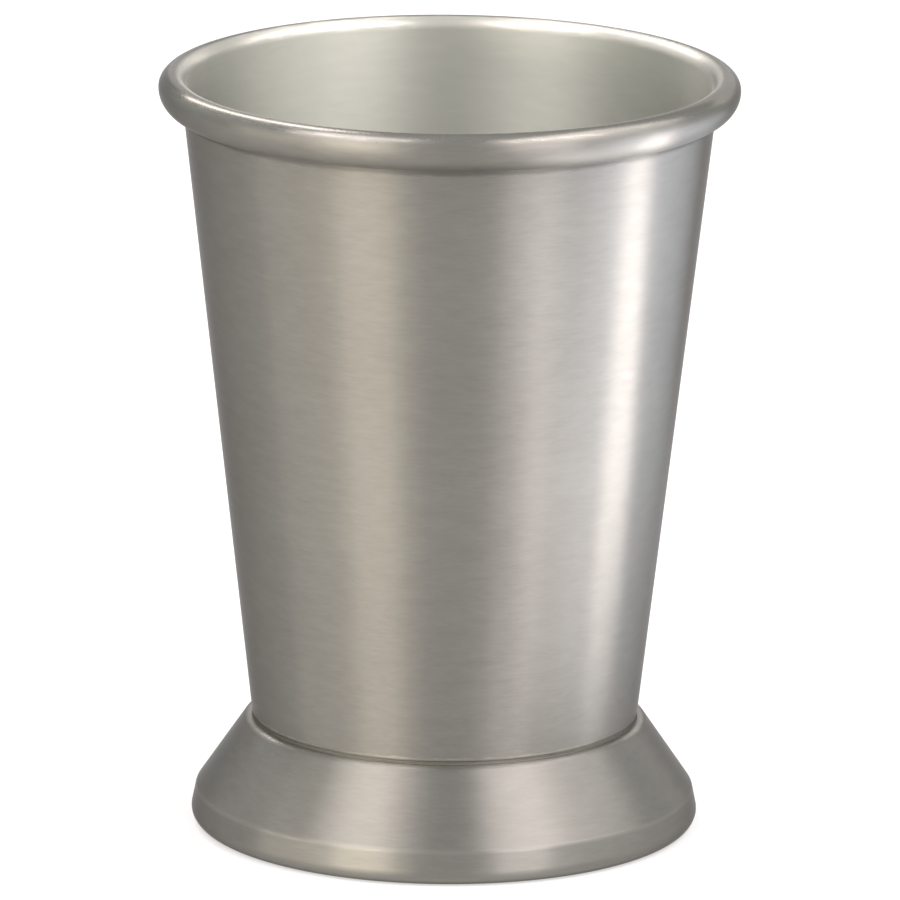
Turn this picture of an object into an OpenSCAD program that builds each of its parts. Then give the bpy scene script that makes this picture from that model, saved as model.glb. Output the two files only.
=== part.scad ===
// Julep cup: a spun metal tumbler with a rolled rim, soldered on to a flared foot that is open below.
// Millimetres, +Z up. The origin lies on the table, on the axis of the cup.

/* [Cup] */

// Height of the whole cup, from the table to the top of the rim
overall_h = 108; // [92:1:124]

// Widest diameter, across the rolled rim
rim_w = 81.5; // [76:0.5:90]

// Outer diameter at the foot end of the wall, measured to the sharp corner under its bend
waist_w = 54.4; // [48:0.2:56]

// Thickness of the sheet that the cup is spun from
cup_t = 0.9; // [0.7:0.1:1.2]

// Outer radius of the bend between the floor and the wall
corner_r = 1; // [0.9:0.1:1.6]

// Inner radius of that bend
inner_r = 0.6; // [0.3:0.1:1.2]

/* [Rolled rim] */

// Outer radius of the roll over its top
roll_r = 2; // [1.8:0.1:2.6]

// How far the roll comes down from its widest place
roll_drop = 3.5; // [3:0.1:4.2]

// Slit between the cut edge of the roll and the wall
roll_slit = 0.2; // [0.1:0.05:0.4]

/* [Foot] */

// Height of the seat that the cup stands on
seat_h = 15.2; // [12:0.2:20]

// Width of the flat ledge that shows round the solder
ledge_w = 0.2; // [0.1:0.1:1]

// How far the seat reaches in under the flat of the cup's floor, from where the cup's bend begins
seat_reach = 6; // [3:0.5:10]

// Diameter at the crease between the cone and the band below it
crease_w = 70.4; // [67:0.2:73]

// Height of the crease
crease_h = 4.9; // [4.5:0.1:6]

// How far the band spreads between the crease and the table, on each side
band_flare = 1; // [0.4:0.1:1.6]

// Thickness of the sheet that the foot is spun from
foot_t = 1; // [0.8:0.1:1.2]

// Outer radius of the bend round the seat
seat_r = 1.3; // [1.3:0.1:1.8]

// Outer radius of the bend at the crease
crease_r = 1.5; // [1.3:0.1:2]

// Outer radius of the bend at the table
base_r = 1.8; // [1.5:0.1:2.2]

// Width of the lip that is turned in along the table
lip_w = 4.5; // [3.5:0.1:6]

/* [Solder] */

// Thickness of the solder under the floor of the cup
solder_t = 0.15; // [0.1:0.05:0.3]

// Radius of the hollow face of the solder round the cup
solder_r = 0.5; // [0.4:0.1:0.8]

/* [Hidden] */

// Steps round a whole turn, and round a bend
turn_steps = 180;
bend_steps = 72;

// How far each cut runs past the piece that it cuts
overrun = 1;

up = [0, 1];
outward = [1, 0];

// Share of the solder's radius at which its hollow face stands over the seat, so that it meets it at an angle
solder_lift_share = 0.85;

// A direction turned a quarter turn clockwise
function clockwise(v) = [v.y, -v.x];

// The direction from one point to another, one unit long
function towards(a, b) = (b - a) / norm(b - a);

// The centre of a bend of radius r at the corner p, between the straights that come from a and go to b
function bend_centre(a, p, b, r) =
    let(back = towards(p, a), on = towards(p, b), half = acos(back * on) / 2)
    p + towards([0, 0], back + on) * r / sin(half);

// The cup's wall leaves its corner and runs up to touch the roll. The roll's outer side is the wall's inner
// side, bent over, so the wall's outer side touches a circle that is smaller by the thickness of the sheet
floor_z = seat_h + solder_t;
waist = [waist_w / 2, floor_z];
roll_c = [rim_w / 2 - roll_r, overall_h - roll_r];
roll_run = roll_c - waist;
wall_lean = atan2(roll_run.x, roll_run.y) - asin((roll_r - cup_t) / norm(roll_run));
wall_up = [sin(wall_lean), cos(wall_lean)];
wall_out = clockwise(wall_up);

// Outer radius of the wall at a height
function wall_at(z) = waist.x + (z - waist.y) * tan(wall_lean);

// Where the sides of the floor and the wall would meet at a depth in the sheet, and the centre of a bend there
function corner_p(depth) = waist + [-(1 - sin(wall_lean)) / cos(wall_lean), 1] * depth;
function corner_at(depth, r) =
    let(p = corner_p(depth))
    bend_centre([0, p.y], p, p + wall_up, r);

corner_c = corner_at(0, corner_r);

// The lower part of the roll is a wider arc, from its widest place in to the slit beside the wall
slit_x = roll_slit / cos(wall_lean);
tuck = [wall_at(roll_c.y - roll_drop) + slit_x, roll_c.y - roll_drop];
tuck_in = rim_w / 2 - tuck.x;
tuck_r = (tuck_in * tuck_in + roll_drop * roll_drop) / (2 * tuck_in);
tuck_c = [rim_w / 2 - tuck_r, roll_c.y];

// The hollow face of the solder is a round one that meets the seat and the cup's bend
solder_lift = solder_r * solder_lift_share;
solder_drop = corner_c.y - seat_h - solder_lift;
solder_c = corner_c + [sqrt(pow(corner_r + solder_lift, 2) - pow(solder_drop, 2)), -solder_drop];
solder_edge_x = solder_c.x - sqrt(pow(solder_r, 2) - pow(solder_lift, 2));

// The seat runs from its hole to a bend just past the solder. The cone leaves that bend and comes down to
// the crease, and the band from the crease down to the bend at the table
hole_x = corner_c.x - seat_reach;
seat_c = [solder_edge_x + ledge_w, seat_h - seat_r];
crease_p = [crease_w / 2, crease_h];
table_p = [crease_w / 2 + band_flare, 0];
cone_run = seat_c - crease_p;
cone_lean = atan2(-cone_run.x, cone_run.y) - asin(seat_r / norm(cone_run));
cone_up = [-sin(cone_lean), cos(cone_lean)];
cone_out = clockwise(cone_up);
band_out = clockwise(towards(table_p, crease_p));
crease_c = bend_centre(table_p, crease_p, crease_p + cone_up, crease_r);
base_c = bend_centre([0, 0], table_p, crease_p, base_r);
lip_x = base_c.x - lip_w;

module turned() {
    rotate_extrude($fn = turn_steps) children();
}

module disc(c, r) {
    translate(c) circle(r, $fn = bend_steps);
}

// Half of a cup filled to the level of the roll, with its skin taken off to a depth and a bend of radius r
module cup_fill(depth, r, past) {
    bend_c = corner_at(depth, r);
    roll_end = roll_c - wall_out * (roll_r - cup_t + depth);
    axis_end = roll_c - wall_out * roll_c.x / cos(wall_lean);
    polygon([
        [0, floor_z + depth],
        [bend_c.x, floor_z + depth],
        bend_c,
        bend_c + wall_out * r,
        roll_end + wall_up * past,
        [0, axis_end.y + past]
    ]);
    disc(bend_c, r);
}

// The first part of the roll, from inside the top of the wall over to its widest place
module roll_top() {
    far = roll_r + overrun;
    intersection() {
        difference() {
            disc(roll_c, roll_r);
            disc(roll_c, roll_r - cup_t);
        }
        polygon([
            roll_c,
            roll_c - wall_out * (roll_r - cup_t),
            roll_c - wall_out * (roll_r - cup_t / 2) - wall_up * cup_t,
            roll_c - wall_out * far - wall_up * cup_t,
            roll_c - wall_out * far + up * far,
            roll_c + (outward + up) * far,
            roll_c + outward * far
        ]);
    }
}

// The second part, down from the widest place and in to the slit beside the wall
module roll_tuck() {
    far = tuck_r + overrun;
    intersection() {
        difference() {
            disc(tuck_c, tuck_r);
            disc(tuck_c, tuck_r - cup_t);
        }
        polygon([
            [wall_at(tuck_c.y) + slit_x, tuck_c.y],
            [wall_at(tuck_c.y - far) + slit_x, tuck_c.y - far],
            tuck_c + [far, -far],
            tuck_c + outward * far
        ]);
    }
}

module cup() {
    color([0.62, 0.61, 0.57]) turned() {
        difference() {
            cup_fill(0, corner_r, 0);
            cup_fill(cup_t, inner_r, overrun);
        }
        roll_top();
        roll_tuck();
    }
}

// Half of a solid foot, with its skin taken off to a depth
module foot_fill(depth) {
    polygon([
        [0, depth],
        [base_c.x, depth],
        base_c,
        base_c + band_out * (base_r - depth),
        crease_c + band_out * (crease_r - depth),
        crease_c,
        crease_c + cone_out * (crease_r - depth),
        seat_c + cone_out * (seat_r - depth),
        seat_c,
        [seat_c.x, seat_h - depth],
        [0, seat_h - depth]
    ]);
    disc(base_c, base_r - depth);
    disc(crease_c, crease_r - depth);
    disc(seat_c, seat_r - depth);
}

module foot() {
    color([0.60, 0.59, 0.56]) turned() difference() {
        foot_fill(0);
        foot_fill(foot_t);
        translate([0, -overrun]) square([lip_x, foot_t + 2 * overrun]);
        translate([0, seat_h - foot_t - overrun]) square([hole_x, foot_t + 2 * overrun]);
    }
}

// Solder: a thin sheet of it between the seat and the floor, and a small hollow fillet round the cup's bend
module solder() {
    color([0.48, 0.47, 0.45]) turned() difference() {
        polygon([
            [hole_x, seat_h],
            [solder_c.x, seat_h],
            solder_c,
            corner_c,
            [corner_c.x, floor_z],
            [hole_x, floor_z]
        ]);
        disc(corner_c, corner_r);
        disc(solder_c, solder_r);
    }
}

cup();
foot();
solder();
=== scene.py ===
"""A footed julep cup in satin grey metal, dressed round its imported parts, with the studio and the camera.

Metres, +Z up, with the origin on the table under the middle of the cup. Every piece is a profile carried
round the axis: the cup with its rolled rim, the foot, and the solder between them.
"""

import math

import bpy
import numpy as np
from mathutils import Matrix, Vector


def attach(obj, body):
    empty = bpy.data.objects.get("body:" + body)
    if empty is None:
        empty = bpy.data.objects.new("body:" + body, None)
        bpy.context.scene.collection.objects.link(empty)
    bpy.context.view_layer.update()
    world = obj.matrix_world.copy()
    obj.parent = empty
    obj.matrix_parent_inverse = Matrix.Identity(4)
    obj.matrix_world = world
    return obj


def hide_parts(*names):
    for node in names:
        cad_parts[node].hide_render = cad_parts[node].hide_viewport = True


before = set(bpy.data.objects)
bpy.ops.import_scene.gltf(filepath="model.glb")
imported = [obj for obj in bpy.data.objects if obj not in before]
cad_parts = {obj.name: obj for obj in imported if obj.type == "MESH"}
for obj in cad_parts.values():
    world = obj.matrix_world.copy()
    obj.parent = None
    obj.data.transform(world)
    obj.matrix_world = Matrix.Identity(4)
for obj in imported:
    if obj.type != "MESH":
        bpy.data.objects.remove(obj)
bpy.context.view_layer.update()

# Metres in a millimetre, and millimetres in a centimetre, in which the maps count along the profiles
MM = 0.001
CM = 10

# Sizes of the cup in millimetres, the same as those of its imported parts
OVERALL_H = 108.0
RIM_W = 81.5
WAIST_W = 54.4
CUP_T = 0.9
CORNER_R = 1.0
INNER_R = 0.6
ROLL_R = 2.0
ROLL_DROP = 3.5
ROLL_SLIT = 0.2
SEAT_H = 15.2
LEDGE_W = 0.2
SEAT_REACH = 6.0
CREASE_W = 70.4
CREASE_H = 4.9
BAND_FLARE = 1.0
FOOT_T = 1.0
SEAT_R = 1.3
CREASE_R = 1.5
BASE_R = 1.8
LIP_W = 4.5
SOLDER_T = 0.15
SOLDER_R = 0.5

# Share of the solder's radius at which its hollow face stands over the seat, to meet it at an angle
SOLDER_LIFT_SHARE = 0.85

# How far back from a cut edge it is worn round, and the points of the round
EDGE_R = 0.15
EDGE_POINTS = 6

# The steps round a whole turn, and how near two points of a profile are one
TURN_STEPS = 256
SAME_PLACE = 1e-6


# Plane geometry of the profiles: points are (distance from the axis, height)


def unit(v):
    """A vector divided by its length."""
    v = np.asarray(v, float)
    return v / np.hypot(*v)


def clockwise(v):
    """A direction turned a quarter turn clockwise: (x, z) becomes (z, -x)."""
    return np.array([v[1], -v[0]])


def angle_of(v):
    """The angle of a direction above the outward axis, in degrees."""
    return math.degrees(math.atan2(v[1], v[0]))


def bend_centre(a, p, b, r):
    """The centre of a bend of radius r at the corner p between the straights to a and b: it lies on the
    line that halves the corner, r divided by the sine of half the corner's angle away."""
    a, p, b = (np.asarray(q, float) for q in (a, p, b))
    back, on = unit(a - p), unit(b - p)
    half = math.acos(float(back @ on)) / 2
    return p + unit(back + on) * r / math.sin(half)


def arc(centre, r, start, stop, step=5.0):
    """Points of an arc: the centre plus r times (cosine, sine) of angles spaced evenly from start to
    stop."""
    n = max(3, int(math.ceil(abs(stop - start) / step)) + 1)
    a = np.radians(np.linspace(start, stop, n))
    return np.asarray(centre) + r * np.c_[np.cos(a), np.sin(a)]


def straight(a, b, step=1.5):
    """Points spaced evenly from a to b, without a and b themselves."""
    a, b = np.asarray(a, float), np.asarray(b, float)
    n = max(2, int(math.ceil(np.hypot(*(b - a)) / step)))
    t = np.linspace(0, 1, n + 1)[1:-1, None]
    return a + (b - a) * t


def soft_corner(a, p, b, r=EDGE_R):
    """A worn corner at p: the parabola that leaves the side to a and meets the side to b, each r away from
    p, so a point at t is (1-t)^2 times the first, 2t(1-t) times p and t^2 times the last."""
    a, p, b = (np.asarray(q, float) for q in (a, p, b))
    first, last = p + unit(a - p) * r, p + unit(b - p) * r
    t = np.linspace(0, 1, EDGE_POINTS)[:, None]
    return (1 - t) ** 2 * first + 2 * t * (1 - t) * p + t**2 * last


def circle_meets_line(centre, r, point, along):
    """Where a line through a point leaves a circle on its lower side: the smaller root of the square
    equation for the distance along the line."""
    d = np.asarray(point) - centre
    half = float(d @ along)
    return point + along * (-half - math.sqrt(half * half - float(d @ d) + r * r))


# The places that the profiles are drawn from
floor_z = SEAT_H + SOLDER_T
waist = np.array([WAIST_W / 2, floor_z])
roll_c = np.array([RIM_W / 2 - ROLL_R, OVERALL_H - ROLL_R])
roll_run = roll_c - waist
wall_lean = math.atan2(*roll_run) - math.asin((ROLL_R - CUP_T) / np.hypot(*roll_run))
wall_up = np.array([math.sin(wall_lean), math.cos(wall_lean)])
wall_out = clockwise(wall_up)


def wall_at(z):
    """Outer radius of the wall at a height."""
    return waist[0] + (z - floor_z) * math.tan(wall_lean)


def corner_at(depth, r):
    """The centre of a bend of radius r between the sides of the floor and the wall at a depth in the
    sheet. They meet at the depth above the waist, and (1 - sin lean) / cos lean times the depth in from
    it."""
    p = waist + np.array([-(1 - math.sin(wall_lean)) / math.cos(wall_lean), 1.0]) * depth
    return bend_centre([0, p[1]], p, p + wall_up, r)


corner_c, inner_c = corner_at(0, CORNER_R), corner_at(CUP_T, INNER_R)
slit_x = ROLL_SLIT / math.cos(wall_lean)
tuck_in = RIM_W / 2 - wall_at(roll_c[1] - ROLL_DROP) - slit_x
tuck_r = (tuck_in**2 + ROLL_DROP**2) / (2 * tuck_in)
tuck_c = np.array([RIM_W / 2 - tuck_r, roll_c[1]])

solder_lift = SOLDER_R * SOLDER_LIFT_SHARE
solder_drop = corner_c[1] - SEAT_H - solder_lift
solder_c = corner_c + [math.sqrt((CORNER_R + solder_lift) ** 2 - solder_drop**2), -solder_drop]
solder_edge = np.array([solder_c[0] - math.sqrt(SOLDER_R**2 - solder_lift**2), SEAT_H])

hole_x = corner_c[0] - SEAT_REACH
seat_c = np.array([solder_edge[0] + LEDGE_W, SEAT_H - SEAT_R])
crease_p = np.array([CREASE_W / 2, CREASE_H])
table_p = np.array([CREASE_W / 2 + BAND_FLARE, 0.0])
cone_run = seat_c - crease_p
cone_lean = math.atan2(-cone_run[0], cone_run[1]) - math.asin(SEAT_R / np.hypot(*cone_run))
cone_up = np.array([-math.sin(cone_lean), math.cos(cone_lean)])
cone_out = clockwise(cone_up)
band_out = clockwise(unit(crease_p - table_p))
crease_c = bend_centre(table_p, crease_p, crease_p + cone_up, CREASE_R)
base_c = bend_centre([0, 0], table_p, crease_p, BASE_R)
lip_x = base_c[0] - LIP_W


def cup_profile():
    """The cup's sheet from the axis under the floor, out, up the wall, round the inside of the roll to its
    cut edge, back over the roll, down the inside of the wall and in to the axis above the floor. The roll
    is one arc over the top and a wider one below its widest place."""
    top_in, top_out = 180 + angle_of(wall_out), 0.0
    slit = np.array([wall_at(tuck_c[1]) + slit_x, tuck_c[1]])
    end_in = circle_meets_line(tuck_c, tuck_r - CUP_T, slit, wall_up)
    end_out = circle_meets_line(tuck_c, tuck_r, slit, wall_up)
    tuck_inner = arc(tuck_c, tuck_r - CUP_T, 0, angle_of(end_in - tuck_c), step=3)
    tuck_outer = arc(tuck_c, tuck_r, angle_of(end_out - tuck_c), 0, step=3)
    bend = angle_of(wall_out)
    parts = [
        [(0.0, floor_z)],
        straight((0, floor_z), (corner_c[0], floor_z)),
        arc(corner_c, CORNER_R, -90, bend),
        straight(corner_c + wall_out * CORNER_R, roll_c - wall_out * (ROLL_R - CUP_T)),
        arc(roll_c, ROLL_R - CUP_T, top_in, top_out, step=6),
        tuck_inner[1:-1],
        soft_corner(tuck_inner[-2], end_in, end_out),
        soft_corner(end_in, end_out, tuck_outer[1]),
        tuck_outer[1:-1],
        arc(roll_c, ROLL_R, top_out, top_in, step=4),
        straight(roll_c - wall_out * ROLL_R, inner_c + wall_out * INNER_R),
        arc(inner_c, INNER_R, bend, -90, step=8),
        straight((inner_c[0], floor_z + CUP_T), (0, floor_z + CUP_T)),
        [(0.0, floor_z + CUP_T)],
    ]
    return np.vstack(parts)


def foot_profile():
    """The foot's sheet as a closed ring: along the lip on the table, up the band, over the crease, up the
    cone, over the shoulder, in along the seat to its hole, and back the same way on the inside."""
    band, cone = angle_of(band_out), angle_of(cone_out)

    def side(depth):
        return [
            arc(base_c, BASE_R - depth, -90, band),
            straight(base_c + band_out * (BASE_R - depth), crease_c + band_out * (CREASE_R - depth)),
            arc(crease_c, CREASE_R - depth, band, cone, step=2.5),
            straight(crease_c + cone_out * (CREASE_R - depth), seat_c + cone_out * (SEAT_R - depth)),
            arc(seat_c, SEAT_R - depth, cone, 90),
        ]

    lip_low, lip_high = (lip_x, 0.0), (lip_x, FOOT_T)
    hole_high, hole_low = (hole_x, SEAT_H), (hole_x, SEAT_H - FOOT_T)
    parts = [
        soft_corner(lip_high, lip_low, (base_c[0], 0)),
        straight((lip_x + EDGE_R, 0), (base_c[0], 0)),
        *side(0.0),
        straight((seat_c[0], SEAT_H), (hole_x + EDGE_R, SEAT_H)),
        soft_corner((seat_c[0], SEAT_H), hole_high, hole_low),
        soft_corner(hole_high, hole_low, (seat_c[0], SEAT_H - FOOT_T)),
        straight((hole_x + EDGE_R, SEAT_H - FOOT_T), (seat_c[0], SEAT_H - FOOT_T)),
        *[p[::-1] for p in side(FOOT_T)[::-1]],
        straight((base_c[0], FOOT_T), (lip_x + EDGE_R, FOOT_T)),
        soft_corner((base_c[0], FOOT_T), lip_high, lip_low),
    ]
    return np.vstack(parts)


def solder_profile():
    """The solder as a closed ring: out along the seat, up the hollow face to the cup's bend, down the bend
    and back in under the floor. The hollow face is an arc between the seat and the bend's circle."""
    toward = unit(corner_c - solder_c)
    gap = np.hypot(*(corner_c - solder_c))
    along = (SOLDER_R**2 - CORNER_R**2 + gap**2) / (2 * gap)
    aside = math.sqrt(SOLDER_R**2 - along**2)
    meet = solder_c + toward * along - clockwise(toward) * aside
    if meet[1] > solder_c[1] + toward[1] * along:
        meet = solder_c + toward * along + clockwise(toward) * aside
    face_from = angle_of(solder_edge - solder_c) % 360
    face_to = angle_of(meet - solder_c) % 360
    parts = [
        [(hole_x, SEAT_H)],
        straight((hole_x, SEAT_H), solder_edge),
        arc(solder_c, SOLDER_R, face_from, face_to),
        arc(corner_c, CORNER_R, angle_of(meet - corner_c), -90)[1:],
        straight((corner_c[0], floor_z), (hole_x, floor_z)),
        [(hole_x, floor_z)],
    ]
    return np.vstack(parts)


# Turning a profile into a piece


def turned(name, profile, closed):
    """The surface of a profile carried round the axis: the point at angle a is (r cos a, r sin a, z). A
    closed profile makes a ring, and an open one starts and ends on the axis, where its rings shrink to one
    point each. Normals are those of the profile, each the mean of its two sides weighted by their lengths,
    turned with it. The map's u runs once round, and its v is the length along the profile in
    centimetres."""
    keep = np.r_[True, np.hypot(*np.diff(profile, axis=0).T) > SAME_PLACE]
    p = profile[keep]
    n = len(p)
    nxt = np.roll(p, -1, axis=0) - p if closed else np.diff(p, axis=0)
    length = np.hypot(*nxt.T)
    side = np.c_[nxt[:, 1], -nxt[:, 0]]
    if closed:
        normal = side + np.roll(side, 1, axis=0)
    else:
        normal = np.vstack([side[:1], side[1:] + side[:-1], side[-1:]])
    normal /= np.hypot(*normal.T)[:, None]
    run = np.r_[0, np.cumsum(length)]
    angle = np.arange(TURN_STEPS) * 2 * np.pi / TURN_STEPS
    cos, sin = np.cos(angle), np.sin(angle)
    rows = np.arange(n) if closed else np.arange(1, n - 1)

    def swept(r, z):
        level = np.repeat(z[:, None], TURN_STEPS, 1)
        return np.stack([r[:, None] * cos, r[:, None] * sin, level], -1).reshape(-1, 3)

    verts = swept(p[rows, 0], p[rows, 1]) * MM
    norms = swept(normal[rows, 0], normal[rows, 1])
    ring = np.arange(len(rows) * TURN_STEPS).reshape(len(rows), TURN_STEPS)
    on = np.roll(ring, -1, axis=1)
    low, high = (ring, np.roll(ring, -1, axis=0)) if closed else (ring[:-1], ring[1:])
    low_on, high_on = (on, np.roll(on, -1, axis=0)) if closed else (on[:-1], on[1:])
    quads = np.stack([low, low_on, high_on, high], -1).reshape(-1, 4)
    u = np.arange(TURN_STEPS) / TURN_STEPS
    step = 1 / TURN_STEPS
    starts = rows if closed else rows[:-1]
    uv = np.empty((len(starts), TURN_STEPS, 4, 2))
    uv[..., 0, 0] = uv[..., 3, 0] = u
    uv[..., 1, 0] = uv[..., 2, 0] = u + step
    uv[..., 0, 1] = uv[..., 1, 1] = run[starts, None] / CM
    uv[..., 2, 1] = uv[..., 3, 1] = run[starts + 1, None] / CM
    uv = uv.reshape(-1, 2)
    faces = quads.tolist()
    if not closed:
        pole = len(verts)
        poles = np.array([[0, 0, p[0, 1]], [0, 0, p[-1, 1]]]) * MM
        verts = np.vstack([verts, poles])
        norms = np.vstack([norms, [[0, 0, -1], [0, 0, 1]]])
        first, last = ring[0], ring[-1]
        under = np.stack([np.full(TURN_STEPS, pole), np.roll(first, -1), first], -1)
        over = np.stack([last, np.roll(last, -1), np.full(TURN_STEPS, pole + 1)], -1)
        faces += under.tolist() + over.tolist()
        mid = u + step / 2
        under_uv = np.zeros((TURN_STEPS, 3, 2))
        under_uv[..., 0] = np.stack([mid, u + step, u], -1)
        under_uv[:, 1:, 1] = run[1] / CM
        over_uv = np.zeros((TURN_STEPS, 3, 2))
        over_uv[..., 0] = np.stack([u, u + step, mid], -1)
        over_uv[:, :2, 1], over_uv[:, 2, 1] = run[n - 2] / CM, run[n - 1] / CM
        uv = np.vstack([uv, under_uv.reshape(-1, 2), over_uv.reshape(-1, 2)])
    mesh = bpy.data.meshes.new(name)
    mesh.from_pydata(verts.tolist(), [], faces)
    mesh.polygons.foreach_set("use_smooth", np.ones(len(faces), bool))
    mesh.uv_layers.new(name="turning").data.foreach_set("uv", uv.ravel())
    mesh.update()
    mesh.normals_split_custom_set_from_vertices(norms.tolist())
    piece = bpy.data.objects.new(name, mesh)
    bpy.context.scene.collection.objects.link(piece)
    return piece


# Materials


def node(tree, kind, x, y, **values):
    """Adds a node at a place on the sheet, and sets its properties or its inputs by name."""
    added = tree.nodes.new(kind)
    added.location = (x, y)
    for key, value in values.items():
        if hasattr(added, key):
            setattr(added, key, value)
        else:
            added.inputs[key.replace("_", " ")].default_value = value
    return added


# Each kind of line: its name, the scale of its noise round the axis, and the noise's detail and roughness
LINES = (("Fine", 16.0, 3.0, 0.6), ("Coarse", 7.5, 4.0, 0.55))


def spun_lines_group():
    """The fine lines that turning and brushing leave round the axis. Noise is read at (cos a, sin a) times
    one scale, and at the length along the profile times a much larger one, so each line is long round the
    axis and thin across it, and it has no seam."""
    group = bpy.data.node_groups.new("spun_lines", "ShaderNodeTree")
    for name, kind, value in (
        ("Position", "NodeSocketVector", None),
        ("Along", "NodeSocketFloat", 0.0),
        ("Fine Lines", "NodeSocketFloat", 34.0),
        ("Coarse Lines", "NodeSocketFloat", 9.0),
    ):
        socket = group.interface.new_socket(name, in_out="INPUT", socket_type=kind)
        if value is not None:
            socket.default_value = value
    for name in ("Fine", "Coarse", "Cloud"):
        group.interface.new_socket(name, in_out="OUTPUT", socket_type="NodeSocketFloat")
    start = node(group, "NodeGroupInput", -1000, 0)
    flat = node(group, "ShaderNodeVectorMath", -800, 100, operation="MULTIPLY")
    flat.inputs[1].default_value = (1, 1, 0)
    around = node(group, "ShaderNodeVectorMath", -620, 100, operation="NORMALIZE")
    group.links.new(start.outputs["Position"], flat.inputs[0])
    group.links.new(flat.outputs[0], around.inputs[0])
    end = node(group, "NodeGroupOutput", 700, 0)
    for i, (name, spread, detail, rough) in enumerate(LINES):
        y = 200 - 400 * i
        scale = node(group, "ShaderNodeVectorMath", -440, y, operation="SCALE")
        scale.inputs["Scale"].default_value = spread
        times = node(group, "ShaderNodeMath", -440, y - 160, operation="MULTIPLY")
        lift = node(group, "ShaderNodeCombineXYZ", -260, y - 160)
        add = node(group, "ShaderNodeVectorMath", -80, y, operation="ADD")
        noise = node(group, "ShaderNodeTexNoise", 120, y, Scale=1.0, Detail=detail, Roughness=rough)
        group.links.new(around.outputs[0], scale.inputs[0])
        group.links.new(start.outputs["Along"], times.inputs[0])
        group.links.new(start.outputs[name + " Lines"], times.inputs[1])
        group.links.new(times.outputs[0], lift.inputs["Z"])
        group.links.new(scale.outputs[0], add.inputs[0])
        group.links.new(lift.outputs[0], add.inputs[1])
        group.links.new(add.outputs[0], noise.inputs["Vector"])
        group.links.new(noise.outputs["Fac"], end.inputs[name])
    cloud = node(group, "ShaderNodeTexNoise", 120, -620, Scale=38.0, Detail=3.0, Roughness=0.5)
    group.links.new(start.outputs["Position"], cloud.inputs["Vector"])
    group.links.new(cloud.outputs["Fac"], end.inputs["Cloud"])
    return group


def wear_and_painted_light_band_group():
    """A band along the profile that carries wear, painted highlight and painted shade: one at the middle of
    the band and none at its edges, broken up by the pattern of lines and clouds."""
    group = bpy.data.node_groups.new("wear_and_painted_light_band", "ShaderNodeTree")
    inputs = (("Along", 0.0), ("Middle", 0.0), ("Half Width", 0.1), ("Ragged", 0.5), ("Pattern", 0.5))
    for name, value in inputs:
        group.interface.new_socket(name, in_out="INPUT", socket_type="NodeSocketFloat").default_value = value
    group.interface.new_socket("Wear And Painted Light", in_out="OUTPUT", socket_type="NodeSocketFloat")
    start = node(group, "NodeGroupInput", -900, 0)
    off = node(group, "ShaderNodeMath", -700, 100, operation="SUBTRACT")
    far = node(group, "ShaderNodeMath", -520, 100, operation="ABSOLUTE")
    share = node(group, "ShaderNodeMath", -340, 100, operation="DIVIDE")
    centred = node(group, "ShaderNodeMath", -520, -120, operation="SUBTRACT")
    centred.inputs[1].default_value = 0.5
    ragged = node(group, "ShaderNodeMath", -340, -120, operation="MULTIPLY")
    moved = node(group, "ShaderNodeMath", -160, 0, operation="ADD")
    fade = node(group, "ShaderNodeMapRange", 20, 0, interpolation_type="SMOOTHSTEP")
    for key, value in (("From Min", 0.15), ("From Max", 1.0), ("To Min", 1.0), ("To Max", 0.0)):
        fade.inputs[key].default_value = value
    end = node(group, "NodeGroupOutput", 220, 0)
    group.links.new(start.outputs["Along"], off.inputs[0])
    group.links.new(start.outputs["Middle"], off.inputs[1])
    group.links.new(off.outputs[0], far.inputs[0])
    group.links.new(far.outputs[0], share.inputs[0])
    group.links.new(start.outputs["Half Width"], share.inputs[1])
    group.links.new(start.outputs["Pattern"], centred.inputs[0])
    group.links.new(centred.outputs[0], ragged.inputs[0])
    group.links.new(start.outputs["Ragged"], ragged.inputs[1])
    group.links.new(share.outputs[0], moved.inputs[0])
    group.links.new(ragged.outputs[0], moved.inputs[1])
    group.links.new(moved.outputs[0], fade.inputs["Value"])
    group.links.new(fade.outputs["Result"], end.inputs["Wear And Painted Light"])
    return group


def place_along(profile, point):
    """How far along a profile, in centimetres, its nearest place to a point lies: the map's v there."""
    run = np.r_[0, np.cumsum(np.hypot(*np.diff(profile, axis=0).T))]
    return float(run[np.argmin(np.hypot(*(profile - np.asarray(point)).T))]) / CM


# How much the metal shines at its edges, where it is seen at a slant, as a share of a clean mirror's rise
EDGE_SHINE = 0.45

# How much each pattern counts in the mix of two tones, and the sums at which only one tone is left
PATTERN_SHARES = (("Fine", 0.42), ("Coarse", 0.34), ("Cloud", 0.24))
MIX_FROM, MIX_TO = 0.31, 0.69

# The values of the fine lines at which the metal is least and most rough
FINE_FROM, FINE_TO = 0.25, 0.75

# The turn that lays the grain across the lines, in whole turns, and how ragged a band of wear is
GRAIN_TURN = 0.25
BAND_RAGGED = 0.7

# How far before its edge the finish of the inside begins, and how far after it it is full, in centimetres
FADE_BEFORE, FADE_AFTER = 0.02, 0.08


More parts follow.
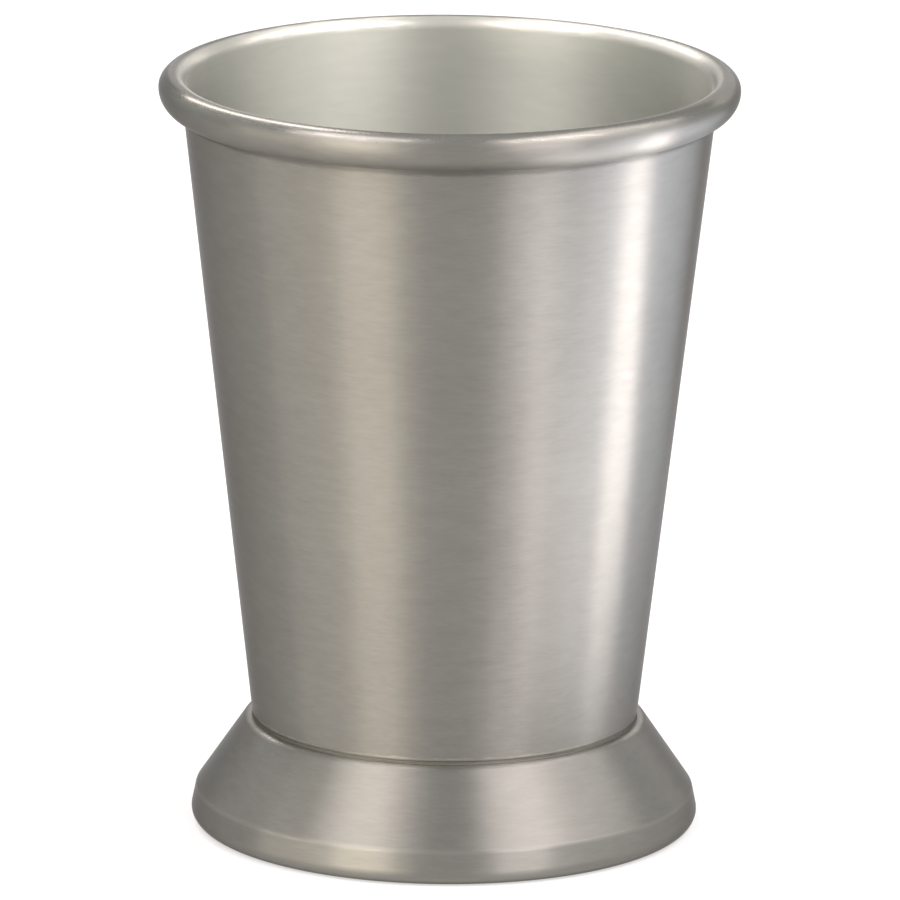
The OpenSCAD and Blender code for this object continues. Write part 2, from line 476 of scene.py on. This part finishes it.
def metal(name, tones, rough, grain, depth, aniso, bands=(), inside=None):
    """Satin metal: two near tones mixed by clouds and lines, roughness that follows the lines, and the
    fine lines in the normal. The grain spreads highlights across the lines. Each band is (place, half
    width, times, drop in roughness), where the metal is that many times lighter, and smoother by the drop;
    its colour is wear in some bands, and in others painted highlight, or painted shade where it is darker.
    The inside, from a place onward, has tones and a change of roughness of its own; its tones are lighter
    than the outside's as painted light."""
    material = bpy.data.materials.new(name)
    material.use_nodes = True
    tree = material.node_tree
    tree.nodes.clear()
    link = tree.links.new
    out = node(tree, "ShaderNodeOutputMaterial", 1300, 0)
    skin = node(tree, "ShaderNodeBsdfPrincipled", 1000, 0)
    skin.inputs["Metallic"].default_value = 1.0
    skin.inputs["Anisotropic"].default_value = aniso
    skin.inputs["Anisotropic Rotation"].default_value = GRAIN_TURN
    skin.inputs["Specular Tint"].default_value = (EDGE_SHINE, EDGE_SHINE, EDGE_SHINE, 1)
    place = node(tree, "ShaderNodeTexCoord", -1100, 0)
    turning = node(tree, "ShaderNodeUVMap", -1100, -260, uv_map="turning")
    along = node(tree, "ShaderNodeSeparateXYZ", -920, -260)
    spun = node(tree, "ShaderNodeGroup", -700, 0)
    spun.node_tree = SPUN_LINES
    link(place.outputs["Object"], spun.inputs["Position"])
    link(turning.outputs["UV"], along.inputs[0])
    link(along.outputs["Y"], spun.inputs["Along"])
    total = None
    for i, (kind, share) in enumerate(PATTERN_SHARES):
        part = node(tree, "ShaderNodeMath", -520 + 90 * i, 300 - 120 * i, operation="MULTIPLY_ADD")
        part.inputs[1].default_value, part.inputs[2].default_value = share, 0.0
        link(spun.outputs[kind], part.inputs[0])
        if total:
            link(total, part.inputs[2])
        total = part.outputs[0]
    streaks = node(tree, "ShaderNodeMapRange", -240, 180, From_Min=MIX_FROM, From_Max=MIX_TO)
    link(total, streaks.inputs["Value"])
    gloss = node(tree, "ShaderNodeMapRange", -200, -60, From_Min=FINE_FROM, From_Max=FINE_TO)
    gloss.inputs["To Min"].default_value = rough - grain
    gloss.inputs["To Max"].default_value = rough + grain
    link(spun.outputs["Fine"], gloss.inputs["Value"])

    def blended(x, y, pair):
        mix = node(tree, "ShaderNodeMix", x, y, data_type="RGBA")
        mix.inputs[6].default_value, mix.inputs[7].default_value = (*pair[0], 1), (*pair[1], 1)
        link(streaks.outputs[0], mix.inputs[0])
        return mix.outputs[2]

    color, shine = blended(-200, 420, tones), gloss.outputs["Result"]
    if inside:
        # The inside's tones are painted light: the same metal, made lighter inside
        edge, inner_painted_light_tones, inner_change = inside
        within = node(tree, "ShaderNodeMapRange", -200, -340, interpolation_type="SMOOTHSTEP")
        within.inputs["From Min"].default_value = edge - FADE_BEFORE
        within.inputs["From Max"].default_value = edge + FADE_AFTER
        link(along.outputs["Y"], within.inputs["Value"])
        both = node(tree, "ShaderNodeMix", 40, 420, data_type="RGBA")
        link(within.outputs["Result"], both.inputs[0])
        link(color, both.inputs[6])
        link(blended(-200, 640, inner_painted_light_tones), both.inputs[7])
        change = node(tree, "ShaderNodeMath", 40, -60, operation="MULTIPLY_ADD")
        change.inputs[1].default_value = inner_change
        link(within.outputs["Result"], change.inputs[0])
        link(shine, change.inputs[2])
        color, shine = both.outputs[2], change.outputs[0]
    for i, (middle, half, times, smoothing) in enumerate(bands):
        x = 260 + 180 * i
        band = node(tree, "ShaderNodeGroup", x, -340)
        band.node_tree = WEAR_AND_PAINTED_LIGHT_BAND
        band.inputs["Middle"].default_value = middle
        band.inputs["Half Width"].default_value = half
        band.inputs["Ragged"].default_value = BAND_RAGGED
        link(along.outputs["Y"], band.inputs["Along"])
        link(streaks.outputs[0], band.inputs["Pattern"])
        # A band's colour: wear in some bands, painted highlight or painted shade in others
        lighter = node(tree, "ShaderNodeMix", x, 420, data_type="RGBA")
        lighter.inputs[7].default_value = (*(times * np.mean(tones, axis=0)), 1)
        link(band.outputs["Wear And Painted Light"], lighter.inputs[0])
        link(color, lighter.inputs[6])
        smoother = node(tree, "ShaderNodeMath", x, 60, operation="MULTIPLY_ADD")
        smoother.inputs[1].default_value = -smoothing
        link(band.outputs["Wear And Painted Light"], smoother.inputs[0])
        link(shine, smoother.inputs[2])
        color, shine = lighter.outputs[2], smoother.outputs[0]
    link(color, skin.inputs["Base Color"])
    link(shine, skin.inputs["Roughness"])
    bump = node(tree, "ShaderNodeBump", 700, -340, Strength=1, Distance=depth * MM)
    link(spun.outputs["Fine"], bump.inputs["Height"])
    link(bump.outputs["Normal"], skin.inputs["Normal"])
    tangent = node(tree, "ShaderNodeTangent", 700, -540, direction_type="UV_MAP", uv_map="turning")
    link(tangent.outputs["Tangent"], skin.inputs["Tangent"])
    link(skin.outputs["BSDF"], out.inputs["Surface"])
    return material


SPUN_LINES, WEAR_AND_PAINTED_LIGHT_BAND = spun_lines_group(), wear_and_painted_light_band_group()
body, foot, solder = cup_profile(), foot_profile(), solder_profile()

# Places along the profiles. The band of painted shade under the roll lies just below its edge
UNDER_ROLL = 0.15
mouth = place_along(body, roll_c + np.array([0, ROLL_R]))
wall_foot = place_along(body, corner_c + wall_out * CORNER_R)
painted_shade_under_roll = wall_foot + (roll_c[1] - ROLL_DROP - UNDER_ROLL - corner_c[1]) / wall_up[1] / CM
crease = place_along(foot, crease_c + unit(band_out + cone_out) * CREASE_R)
shoulder = place_along(foot, seat_c + np.array([0, SEAT_R]))
base = place_along(foot, base_c + unit(band_out + [0, -1]) * BASE_R)

# The darker and the lighter tone of each finish, as shares of red, green and blue light
CUP_TONES = ((0.184, 0.176, 0.160), (0.232, 0.229, 0.206))
# The inside is the same metal as the outside; its tones, about three times as light, are painted light
INSIDE_PAINTED_LIGHT_TONES = ((0.563, 0.57, 0.515), (0.643, 0.65, 0.585))
FOOT_TONES = ((0.184, 0.177, 0.161), (0.232, 0.229, 0.208))
# The solder's own dull alloy, darkened further as painted shade in the seam between cup and foot
SOLDER_AND_SEAM_SHADE_TONES = ((0.085, 0.083, 0.07), (0.12, 0.117, 0.10))

# Each finish: its roughness and how much the lines change it, the depth of the lines in millimetres, and
# how much the grain spreads its highlights
SATIN = {"rough": 0.40, "grain": 0.04, "depth": 0.003, "aniso": 0.9}
DULL = {"rough": 0.45, "grain": 0.06, "depth": 0.006, "aniso": 0.0}
INSIDE_ROUGHER = 0.24

# Bands of wear and of painted light. Those of the cup lie outside the top of the roll, where it is worn;
# just inside it, a painted highlight; in the gap under it, painted shade; and on the bend at the bottom of
# the wall, a painted highlight. Those of the foot lie on its three bends: painted highlights on the crease
# and the shoulder, and a little lighter on the base
CUP_BANDS = (
    (mouth - 0.08, 0.20, 1.1, 0.18),
    # Painted highlight just inside the top of the roll
    (mouth + 0.15, 0.13, 2.8, 0.28),
    # Painted shade in the gap under the roll
    (painted_shade_under_roll, 0.08, 0.7, -0.05),
    # Painted highlight on the bend at the bottom of the wall
    (wall_foot - 0.07, 0.08, 2.6, 0.08),
)
FOOT_BANDS = (
    # Painted highlight on the crease
    (crease, 0.05, 1.1, 0.06),
    # Painted highlight on the shoulder, lifting the seam's shade
    (shoulder - 0.02, 0.09, 1.6, 0.04),
    (base, 0.10, 1.12, 0.08),
)

inside_cup = (mouth, INSIDE_PAINTED_LIGHT_TONES, INSIDE_ROUGHER)
cup_metal = metal("cup_satin", CUP_TONES, **SATIN, bands=CUP_BANDS, inside=inside_cup)
foot_metal = metal("foot_satin", FOOT_TONES, **SATIN, bands=FOOT_BANDS)
solder_metal = metal("solder_dull", SOLDER_AND_SEAM_SHADE_TONES, **DULL)

for name, profile, closed, skin, stands_for, slot in (
    ("julep_cup_body", body, False, cup_metal, "cup", "cup_metal"),
    ("julep_cup_foot", foot, True, foot_metal, "foot", "foot_metal"),
    ("julep_cup_solder", solder, True, solder_metal, "solder", "solder_metal"),
):
    piece = turned(name, profile, closed)
    piece.data.materials.append(skin)
    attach(piece, "root")
    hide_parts(stands_for)


# The studio: a white table, a white surround, soft lamps and cards

# Where the lamps and the camera aim: the middle of the cup
CUP_MIDDLE = (0, 0, 0.054)

# The table's radius in metres, the sides of its disc, and its tone, its glow and the room's light as
# shares of white
TABLE_R, TABLE_SIDES = 1.6, 96
TABLE_TONE, TABLE_GLOW = 0.5, 0.5
ROOM_LEVEL = 0.5

# A softbox is its name, its azimuth and elevation in degrees, its distance, width and height in metres,
# its level and its colour. A card is its name, azimuth, distance, width, length, level, colour and height
# above the table
WARM, PALE, COOL = (1.0, 0.895, 0.74), (1.0, 0.92, 0.93), (0.75, 0.82, 1.0)
SOFTBOXES = (
    ("left_low_box", -52, 3.75, 0.9, 1.41, 0.15, 4.5, WARM),
    ("left_near_box", -36, 3.75, 0.89, 0.41, 0.15, 9.9, WARM),
    ("left_high_box", -55, 55.5, 0.9, 0.53, 0.57, 4.1, PALE),
    ("right_low_box", 36, 8.5, 0.9, 0.40, 0.30, 5.2, PALE),
    ("right_high_box", 84, 50.5, 0.9, 0.90, 0.75, 2.2, PALE),
    ("right_near_box", 51, 54.25, 0.89, 0.55, 0.18, 6.0, PALE),
    ("rear_box", -156, 44, 0.9, 0.16, 0.52, 9.4, PALE),
    ("rear_low_box", 164, 18.25, 0.9, 0.90, 0.31, 0.95, PALE),
)
CARDS = (
    ("right_card", 90, 0.245, 0.34, 0.33, 1.3, COOL, 0.001),
    ("right_far_card", 100, 0.34, 0.475, 0.14, 6.2, COOL, 0.003),
    ("right_strip", 90, 0.196, 0.055, 0.148, 10.8, PALE, 0.005),
    ("near_card", 60, 0.10, 0.087, 0.042, 4.4, PALE, 0.005),
)

# The camera as it was fitted to the photograph: its tilt and roll in degrees, its distance from the middle
# of the cup, then in pixels the picture's width, the place of the cup's middle in it and the length of a
# metre there, and the width of its sensor in millimetres and the distances between which it sees
CAMERA_TILT, CAMERA_ROLL, CAMERA_DISTANCE = 14.234, 0.4796, 1.6667
PICTURE_W, CUP_AT, PER_METRE = 900, (446.81, 447.72), 7097.84
SENSOR_W = 36.0
SEES_FROM, SEES_TO = 0.05, 20


def seen_as_background(tree, x, y):
    """One where a ray comes from the camera, or from metal or glass, which then shows the same
    background."""
    path = node(tree, "ShaderNodeLightPath", x, y)
    first = node(tree, "ShaderNodeMath", x + 180, y, operation="MAXIMUM")
    both = node(tree, "ShaderNodeMath", x + 360, y, operation="MAXIMUM")
    tree.links.new(path.outputs["Is Camera Ray"], first.inputs[0])
    tree.links.new(path.outputs["Is Glossy Ray"], first.inputs[1])
    tree.links.new(first.outputs[0], both.inputs[0])
    tree.links.new(path.outputs["Is Transmission Ray"], both.inputs[1])
    return both.outputs[0]


def table_top():
    """A round white table top: a disc at height 0, with points at (cos a, sin a) times its radius. Its
    matt white takes the shadow, and a glow that the background's rays see lifts it to white. It is clear
    from below."""
    mesh = bpy.data.meshes.new("table_top")
    a = np.linspace(0, 2 * np.pi, TABLE_SIDES, endpoint=False)
    verts = np.c_[TABLE_R * np.cos(a), TABLE_R * np.sin(a), np.zeros(TABLE_SIDES)]
    mesh.from_pydata(verts.tolist(), [], [list(range(TABLE_SIDES))])
    top = bpy.data.objects.new("table_top", mesh)
    bpy.context.scene.collection.objects.link(top)
    material = bpy.data.materials.new("table_white")
    material.use_nodes = True
    material.cycles.emission_sampling = "NONE"
    tree = material.node_tree
    tree.nodes.clear()
    out = node(tree, "ShaderNodeOutputMaterial", 700, 0)
    matt = node(tree, "ShaderNodeBsdfDiffuse", 0, 0, Color=(TABLE_TONE, TABLE_TONE, TABLE_TONE, 1))
    glow = node(tree, "ShaderNodeEmission", 0, -160)
    lift = node(tree, "ShaderNodeMath", -180, -160, operation="MULTIPLY")
    lift.inputs[1].default_value = TABLE_GLOW
    tree.links.new(seen_as_background(tree, -760, -160), lift.inputs[0])
    tree.links.new(lift.outputs[0], glow.inputs["Strength"])
    both = node(tree, "ShaderNodeAddShader", 200, 0)
    tree.links.new(matt.outputs[0], both.inputs[0])
    tree.links.new(glow.outputs[0], both.inputs[1])
    clear = node(tree, "ShaderNodeBsdfTransparent", 200, -160)
    side = node(tree, "ShaderNodeNewGeometry", 200, 260)
    pick = node(tree, "ShaderNodeMixShader", 460, 0)
    tree.links.new(side.outputs["Backfacing"], pick.inputs[0])
    tree.links.new(both.outputs[0], pick.inputs[1])
    tree.links.new(clear.outputs[0], pick.inputs[2])
    tree.links.new(pick.outputs[0], out.inputs["Surface"])
    mesh.materials.append(material)


def surround(level):
    """The light round the table: white as a background, and a plain grey of the given level for all
    else."""
    world = bpy.data.worlds.new("surround")
    world.use_nodes = True
    world.cycles.sampling_method = "NONE"
    tree = world.node_tree
    tree.nodes.clear()
    out = node(tree, "ShaderNodeOutputWorld", 600, 0)
    room = node(tree, "ShaderNodeBackground", 200, 0, Color=(1, 1, 1, 1), Strength=level)
    white = node(tree, "ShaderNodeBackground", 200, -160, Color=(1, 1, 1, 1), Strength=1.0)
    pick = node(tree, "ShaderNodeMixShader", 400, 0)
    tree.links.new(seen_as_background(tree, -360, 200), pick.inputs[0])
    tree.links.new(room.outputs[0], pick.inputs[1])
    tree.links.new(white.outputs[0], pick.inputs[2])
    tree.links.new(pick.outputs[0], out.inputs["Surface"])
    bpy.context.scene.world = world


def lit_panel(name, place, facing, across, width, height, level, color):
    """A rectangular lamp at a place, which faces one way and has its width along another. Its level is its
    brightness as a share of white, so its watts are that times pi times its area."""
    data = bpy.data.lights.new(name, "AREA")
    data.shape = "RECTANGLE"
    data.size, data.size_y = width, height
    data.energy = math.pi * width * height * level
    data.color = color
    lamp = bpy.data.objects.new(name, data)
    side = across.normalized()
    back = -facing.normalized()
    turn = Matrix((side, back.cross(side), back)).transposed().to_4x4()
    turn.translation = place
    lamp.matrix_world = turn
    lamp.visible_camera = False
    bpy.context.scene.collection.objects.link(lamp)


def softbox(name, azimuth, elevation, distance, width, height, level, color):
    """A soft lamp that faces the cup from an azimuth counted from the camera's side towards +X, an
    elevation above the table and a distance, all from the middle of the cup."""
    a, e = math.radians(azimuth), math.radians(elevation)
    back = Vector((math.sin(a) * math.cos(e), -math.cos(a) * math.cos(e), math.sin(e)))
    across = Vector((math.cos(a), math.sin(a), 0))
    lit_panel(name, Vector(CUP_MIDDLE) + back * distance, -back, across, width, height, level, color)


def card(name, azimuth, distance, width, length, level, color, height):
    """A bright card that lies on the table, at an azimuth and a distance from the cup, and shines up into
    it."""
    a = math.radians(azimuth)
    out = Vector((math.sin(a), -math.cos(a), 0))
    across = Vector((math.cos(a), math.sin(a), 0))
    place = out * distance + Vector((0, 0, height))
    lit_panel(name, place, Vector((0, 0, 1)), across, width, length, level, color)


def camera():
    """The photograph's camera: it looks down on the cup, is turned a little about its line of sight, and
    is aimed so that the cup's middle falls just left of and above the picture's."""
    tilt, roll = math.radians(CAMERA_TILT), math.radians(CAMERA_ROLL)
    away = np.array([0, math.cos(tilt), -math.sin(tilt)])
    level, rise = np.array([1.0, 0, 0]), np.array([0, math.sin(tilt), math.cos(tilt)])
    right = math.cos(roll) * level + math.sin(roll) * rise
    up = math.cos(roll) * rise - math.sin(roll) * level
    aside, down = ((PICTURE_W / 2 - at) / PER_METRE for at in CUP_AT)
    aim = np.array(CUP_MIDDLE) + right * aside - up * down
    data = bpy.data.cameras.new("camera")
    data.sensor_fit = "HORIZONTAL"
    data.sensor_width = SENSOR_W
    data.lens = PER_METRE * CAMERA_DISTANCE / PICTURE_W * SENSOR_W
    data.clip_start, data.clip_end = SEES_FROM, SEES_TO
    cam = bpy.data.objects.new("camera", data)
    place = Matrix(np.c_[right, up, -away, aim - away * CAMERA_DISTANCE].tolist() + [[0, 0, 0, 1]])
    cam.matrix_world = place
    bpy.context.scene.collection.objects.link(cam)
    bpy.context.scene.camera = cam


table_top()
surround(ROOM_LEVEL)
for box in SOFTBOXES:
    softbox(*box)
for flat in CARDS:
    card(*flat)
camera()
bpy.context.scene.view_settings.view_transform = "Standard"
